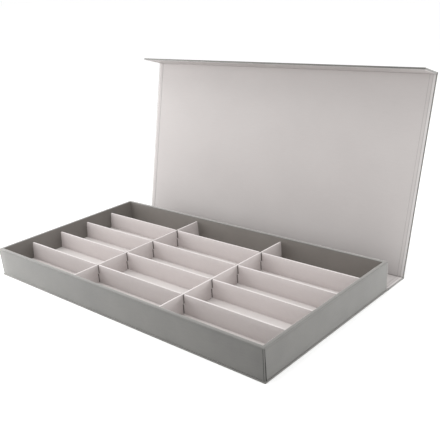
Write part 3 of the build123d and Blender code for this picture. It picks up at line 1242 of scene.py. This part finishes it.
@dataclass
class CasePanel:
    """One wrapped panel of the case, in its own frame."""

    name: str
    body: Body
    far: float
    placing: Matrix
    free_end: bool = False
    lined: bool = True
    width: float = 542.0
    near: float = 1.75
    outer_face: float = -1.45
    paper: float = 0.3
    board: float = 2.0
    turn_in: float = 10.0
    lining_border: float = 1.0
    edge_radius: float = 0.75
    corner_radius: float = 1.1
    step_width: float = 0.9
    pressed_border: float = 5.0
    pressed_depth: float = 0.15
    step_play: float = 0.02
    cell: float = 24.0

    def cover_section(self) -> list[ProfilePoint]:
        """Section of the folded paper.

        Returns:
            Points from its lip round the edge, and back along the inner skin.
        """
        low, radius, paper = self.outer_face, self.edge_radius, self.paper
        high = low + self.board + 2 * paper
        outside = [(self.turn_in, high, 0), (0, high, radius), (0, low, radius), (self.turn_in, low, 0)]
        inside = [
            (self.turn_in, high - paper, 0), (paper, high - paper, radius - paper),
            (paper, low + paper, radius - paper), (self.turn_in, low + paper, 0),
        ]
        return rounded_profile(outside) + rounded_profile(inside)[::-1]

    def build_cover(self) -> None:
        """Paper on the outer face, folded round the free edges and turned in on the inner face."""
        ring = self.cover_section()
        lip = len(ring) // 2
        mouth = lip - 1
        mesh = PieceMesh()
        half = self.width / 2
        outline = RoundedOutline(half, self.near, self.far, self.corner_radius)

        def section(place: Callable[[float], Flat]) -> list[BMVert]:
            """Vertices of the whole section where place gives x and y for an inset."""
            return [mesh.bm.verts.new((*place(point.inset), point.height)) for point in ring]

        ys = (self.near,) if self.free_end else (self.near, self.far)
        left, right = (
            [section(lambda inset, y=y: (side * (half - inset), y)) for y in ys] for side in (-1, 1)
        )
        arcs = []
        if self.free_end:
            around = (station for station in outline.stations() if station.on_arc)
            arcs = [
                section(lambda inset, here=station: outline.place(here, inset))
                for station in around if station.corner in (1, 2)
            ]
        border = [*right, *arcs, *reversed(left)]
        runs = [border] if self.free_end else [left, right]
        for run in runs:
            for first, second in zip(run, run[1:]):
                for place in range(len(ring)):
                    if place == mouth:
                        continue
                    after = (place + 1) % len(ring)
                    # Folded edges take the paler paper: wear and painted highlight.
                    folded = after < lip and ring[place].is_round and ring[after].is_round
                    mesh.face((first[place], first[after], second[after], second[place]), float(folded))
        for run in runs:
            mesh.cap(run[0])
            mesh.cap(run[-1])
        for index in (mouth, lip):
            mesh.face([cut[index] for cut in border])
        for first, second in zip(left, right):
            mesh.face((first[mouth], first[lip], second[lip], second[mouth]))
        made = mesh.finish(f"{self.name}_cover", [COVER], self.placing)
        seat(made, self.body, Slot.COVER, f"{self.name}_cover_paper")

    def build_lining(self) -> None:
        """Pale sheet on the inner face, up over the turned-in paper and pressed thin at its border."""
        half = self.width / 2
        edge, fold, press = half - self.lining_border, half - self.turn_in, half - self.pressed_border
        end_fold, end_press = self.far - self.turn_in, self.far - self.pressed_border
        reach = self.step_width / 2
        ramp = [reach * share for share in (-1.0, -0.5, 0.0, 0.5, 1.0)]
        us = {-edge, edge, *divided(-fold + 2 * reach, fold - 2 * reach, self.cell)}
        us |= {side * (spot + along) for side in (-1, 1) for spot in (fold, press) for along in ramp}
        vs = set(divided(self.near, self.far - self.lining_border * self.free_end, self.cell))
        if self.free_end:
            for spot in (end_fold, end_press):
                vs = {v for v in vs if abs(v - spot) > 2 * reach} | {spot + along for along in ramp}
        low = self.outer_face + self.paper + self.board

        def share_past(u: float, v: float, side_line: float, end_line: float) -> float:
            """How far a place is past a line that runs along the panel's free edges.

            Args:
                u: place across the panel.
                v: place along it.
                side_line: the line's u beside the edges.
                end_line: its v at the free end.
            Returns:
                0 before the line, 1 past it.
            """
            past = smooth_step((abs(u) - side_line + reach) / (2 * reach))
            end_past = smooth_step((v - end_line + reach) / (2 * reach)) if self.free_end else 0.0
            return max(past, end_past)

        def bottom(u: float, v: float) -> Triple:
            """Point of the sheet's lower skin."""
            return u, v, low + self.paper * share_past(u, v, fold, end_fold)

        def top(u: float, v: float) -> Triple:
            """Point of the sheet's upper skin."""
            pressed = self.pressed_depth * share_past(u, v, press, end_press)
            return u, v, low + self.paper * (1 + share_past(u, v, fold, end_fold)) - pressed

        def on_shaded_step(made: BMFace) -> bool:
            """Whether a face is on one of the sheet's steps, whose faces take a darker copy of the lining as
            painted shade. On the way it marks the pressed border paler, a painted highlight.

            Args:
                made: the face.
            Returns:
                True on a step.
            """
            u, v, _ = made.calc_center_median()
            shares = share_past(u, v, press, end_press), share_past(u, v, fold, end_fold)
            # The pressed border is painted paler through the paler-edge attribute: a painted highlight where
            # it catches the light.
            made[mesh.rub] = shares[0]
            return any(self.step_play < share < 1 - self.step_play for share in shares)

        mesh = PieceMesh()
        mesh.slab(sorted(us), sorted(vs), top, bottom)
        mesh.second_finish(on_shaded_step)
        name = f"{self.name}_lining"
        made = mesh.finish(name + "_sheet", [LINING, LINING_STEP_SHADE], self.placing, smooth_below=50.0)
        seat(made, self.body, Slot.LINING, name)

    def build(self) -> None:
        """Builds the panel's papers and dresses its board."""
        self.build_cover()
        if self.lined:
            self.build_lining()
        dress(GREYBOARD, f"{self.name}_board")


@dataclass
class PaperJoint:
    """Cover paper and lining that cross from one panel to the next, curved round the joint in the rest pose.
    """

    name: str
    node: str
    first: Body
    second: Body
    axis: Vector
    toward_first: Vector
    first_normal: Vector
    toward_second: Vector
    second_normal: Vector
    first_lined: bool = True
    width: float = 542.0
    reach: float = 1.75
    half_panel: float = 1.45
    paper: float = 0.3
    turn_in: float = 10.0
    lining_border: float = 1.0
    groove: float = 0.5
    tuck: float = 0.05
    steps: int = 12
    cell: float = 45.0

    @property
    def is_bent(self) -> bool:
        """Whether the panels stand at an angle at rest."""
        return self.first_normal.angle(self.second_normal) > STRAIGHT

    def normal(self, share: float) -> Vector:
        """Inner side's direction at a share of the way from the first panel to the second."""
        return self.first_normal.slerp(self.second_normal, share) if self.is_bent else self.first_normal

    def fold(self, radius: float) -> list[Vector]:
        """Line on the outer side, from one panel's end to the other's.

        Args:
            radius: distance from the axis.
        Returns:
            The line's points.
        """
        start = self.toward_first * self.reach - self.first_normal * radius
        end = self.toward_second * self.reach - self.second_normal * radius
        steps = range(self.steps + 1) if self.is_bent else (0,)
        arc = [-self.normal(step / self.steps) * radius for step in steps]
        return [start, start.lerp(arc[0], 0.5), *arc, (-self.second_normal * radius).lerp(end, 0.5), end]

    def groove_line(self, drop: float) -> list[Vector]:
        """Line on the inner side, down into the groove between the panels and up again.

        Args:
            drop: how far below the lining's top.
        Returns:
            The line's points.
        """
        first_height = self.half_panel - (0.0 if self.first_lined else self.paper)
        start = self.toward_first * self.reach + self.first_normal * first_height
        end = self.toward_second * self.reach + self.second_normal * self.half_panel
        bisector = (self.first_normal + self.second_normal).normalized()
        control = bisector * self.groove * 2 - (start + end) / 2
        line = []
        for step in range(self.steps + 1):
            share = step / self.steps
            place = start * (1 - share) ** 2 + control * (2 * share * (1 - share)) + end * share ** 2
            line.append(place - self.normal(share) * drop)
        return line

    def strip(
        self, mesh: PieceMesh, outer: list[Vector], inner: list[Vector], low: float, high: float,
    ) -> None:
        """Adds a closed strip to a mesh.

        Args:
            mesh: gathers its faces.
            outer: line of its section on the outer side.
            inner: line on the inner side.
            low: x of its left end.
            high: x of its right end.
        """
        ring = [self.axis + point for point in (*outer, *reversed(inner))]
        mesh.bar([[(x, point.y, point.z) for point in ring] for x in divided(low, high, self.cell)])

    def build(self) -> None:
        """Builds the joint's cover with its folded ends, and its lining, and blends both across the joint."""
        half, edge = self.width / 2, self.width / 2 - self.lining_border
        inner = self.half_panel - self.paper
        cover, lining = PieceMesh(), PieceMesh()
        self.strip(cover, self.fold(self.half_panel), self.fold(inner), -half, half)
        for side in (-1, 1):
            low, high = sorted((side * (half - self.turn_in), side * half))
            self.strip(cover, self.fold(inner + self.tuck), self.groove_line(self.paper), low, high)
        self.strip(lining, self.groove_line(0.0), self.groove_line(self.paper), -edge, edge)
        folded = cover.finish(f"{self.name}_cover", [COVER])
        lined = lining.finish(f"{self.name}_lining", [LINING])
        for piece, slot in ((folded, Slot.COVER), (lined, Slot.LINING)):
            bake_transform(piece)
            LOG.info("%s bends between %s and %s", piece.name, self.first.value, self.second.value)
        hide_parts(self.node)


@dataclass
class Case:
    """Base, spine, lid and flap panels with the three paper joints between them."""

    tray_depth: float = 285.0
    tray_height: float = 46.0
    closing_gap: float = 0.7
    base_lip: float = 1.0
    panel: float = 2.9
    edge_distance: float = 1.75
    flap_length: float = 41.0
    lid_lean: float = 13.0
    flap_opening: float = 93.0

    def panel_frame(self, origin: Vector, normal: Vector, x_way: Vector) -> Matrix:
        """A panel's frame as a matrix, from a point on its joint's axis, its z and its x."""
        turned = Matrix((x_way, normal.cross(x_way), normal)).transposed().to_4x4()
        return Matrix.Translation(origin) @ turned

    def build(self) -> None:
        """Builds the four panels and the three joints."""
        lean, opening = math.radians(self.lid_lean), math.radians(self.flap_opening)
        right, back, up = Vector((1, 0, 0)), Vector((0, 1, 0)), Vector((0, 0, 1))
        base_axis = Vector((0, self.tray_depth / 2 + self.closing_gap + self.panel / 2, self.panel / 2))
        spine_span = self.tray_height + self.closing_gap
        lid_span = self.tray_depth + 2 * self.closing_gap + self.panel
        lid_axis = base_axis + back * spine_span
        lid_way = Vector((0, math.sin(lean), math.cos(lean)))
        lid_normal = Vector((0, -math.cos(lean), math.sin(lean)))
        flap_axis = lid_axis + lid_way * lid_span
        flap_normal = -lid_way * math.sin(opening) - lid_normal * math.cos(opening)
        flap_way = flap_normal.cross(right)
        base_far = base_axis.y + self.tray_depth / 2 + self.base_lip
        base, spine = self.panel_frame(base_axis, up, -right), self.panel_frame(base_axis, up, right)
        lid = self.panel_frame(lid_axis, lid_normal, right)
        flap = self.panel_frame(flap_axis, flap_normal, right)
        CasePanel("base", Body.TRAY, base_far, base, free_end=True, lined=False).build()
        CasePanel("spine", Body.SPINE, spine_span - self.edge_distance, spine).build()
        CasePanel("lid", Body.LID, lid_span - self.edge_distance, lid).build()
        CasePanel("flap", Body.FLAP, self.flap_length, flap, free_end=True).build()
        dress(STEEL, "flap_magnets")
        joints = (
            ("spine_joint", "base_hinge_strip", Body.TRAY, Body.SPINE, base_axis, -back, up, back, up, False),
            ("lid_joint", "lid_hinge_strip", Body.SPINE, Body.LID, lid_axis, -back, up, lid_way, lid_normal),
            ("flap_joint", "flap_hinge_strip", Body.LID, Body.FLAP, flap_axis, -lid_way, lid_normal, flap_way,
             flap_normal),
        )
        for joint in joints:
            PaperJoint(*joint).build()


# ---- the studio


@dataclass(frozen=True)
class AreaLight:
    """Soft square light, in metres and watts."""

    name: str
    place: Triple
    target: Triple
    width: float
    power: float

    def build(self) -> None:
        """Adds the light."""
        data = bpy.data.lights.new(self.name, "AREA")
        data.shape = "RECTANGLE"
        data.size = data.size_y = self.width
        data.energy = self.power
        lamp = linked(self.name, data)
        lamp.location = self.place
        lamp.rotation_mode = "QUATERNION"
        lamp.rotation_quaternion = (Vector(self.target) - Vector(self.place)).to_track_quat("-Z", "Y")


@dataclass
class Studio:
    """Pale floor, soft light and the camera at the photograph's viewing angle, in metres."""

    floor_half: float = 30.0
    floor_cells: int = 12
    floor_height: float = -0.00005
    floor_colour: Colour = (0.93, 0.93, 0.93)
    floor_glow: float = 0.22
    sky_strength: float = 0.85
    sky_seen: float = 1.0
    azimuth: float = 42.728
    elevation: float = 24.98
    distance: float = 0.985
    target: Flat = (0.044378, 0.038366)
    roll: float = -3.992
    focal_pixels: float = 641.84
    centre_row: float = 280.05
    sensor: float = 36.0
    clip: Flat = (0.01, 50.0)
    lights: tuple[AreaLight, ...] = (
        AreaLight("lamp_above", (-0.2, -0.1, 1.8), (0.0, 0.05, 0.0), 1.3, 12.0),
        AreaLight("lamp_front_left", (-0.55, -0.65, 0.5), (-0.15, -0.05, 0.03), 0.4, 1.8),
        AreaLight("lamp_left", (-1.0, -0.3, 0.25), (-0.1, 0.0, 0.05), 0.5, 4.0),
        AreaLight("lamp_back_right", (1.0, 0.7, 0.4), (0.2, 0.0, 0.03), 0.5, 4.0),
    )

    def build_floor(self) -> None:
        """A wide sheet of matt white paper under the part."""
        sheet, cells = bmesh.new(), self.floor_cells
        lift = Matrix.Translation((0.0, 0.0, self.floor_height))
        bmesh.ops.create_grid(sheet, x_segments=cells, y_segments=cells, size=self.floor_half, matrix=lift)
        made = bpy.data.meshes.new("floor")
        sheet.to_mesh(made)
        sheet.free()
        made.materials.append(StudioFinish("floor_paper", self.floor_colour, self.floor_glow).material())
        floor = linked("floor", made)

    def build_light(self) -> None:
        """An even white sky, brighter to the camera than it shines, and the lamps."""
        world = bpy.data.worlds.new("studio")
        world.use_nodes = True
        nodes = Nodes(world.node_tree)
        seen = nodes.add("ShaderNodeLightPath").outputs["Is Camera Ray"]
        extra = nodes.math("MULTIPLY", seen, self.sky_seen - self.sky_strength)
        strength = nodes.math("ADD", self.sky_strength, extra)
        nodes.feed(world.node_tree.nodes["Background"], {"Color": rgba(WHITE), "Strength": strength})
        bpy.context.scene.world = world
        for light in self.lights:
            light.build()

    def build_camera(self) -> None:
        """The camera, placed by a fit of the part's corners to the photograph."""
        data = bpy.data.cameras.new("camera")
        data.sensor_width = self.sensor
        data.lens = self.focal_pixels * self.sensor / PHOTO_SIDE
        data.shift_y = (self.centre_row - PHOTO_SIDE / 2) / PHOTO_SIDE
        data.clip_start, data.clip_end = self.clip
        camera = linked("camera", data)
        turned = Matrix.Identity(4)
        for angle, axis in ((self.azimuth, "Z"), (90 - self.elevation, "X"), (self.roll, "Z")):
            turned @= Matrix.Rotation(math.radians(angle), 4, axis)
        away = Matrix.Translation((0.0, 0.0, self.distance))
        camera.matrix_world = Matrix.Translation((*self.target, 0.0)) @ turned @ away
        bpy.context.scene.camera = camera

    def build(self) -> None:
        """Builds the camera, the floor and the light."""
        self.build_camera()
        self.build_floor()
        self.build_light()
        bpy.context.scene.view_settings.view_transform = "Standard"


def clear_startup_objects(kept: Iterable[Object]) -> None:
    """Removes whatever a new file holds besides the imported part. Args: kept: the part's nodes and bodies."""
    names = {thing.name for thing in kept}
    for thing in list(bpy.data.objects):
        if thing.name not in names:
            bpy.data.objects.remove(thing)


def main() -> None:
    """Builds the studio, the tray, the insert and the case."""
    logging.basicConfig(level=logging.INFO, format="%(message)s")
    clear_startup_objects([*frame["nodes"].values(), *frame["bodies"].values()])
    Studio().build()
    Tray().build()
    DividerInsert().build()
    Case().build()


if __name__ == "__main__":
    main()
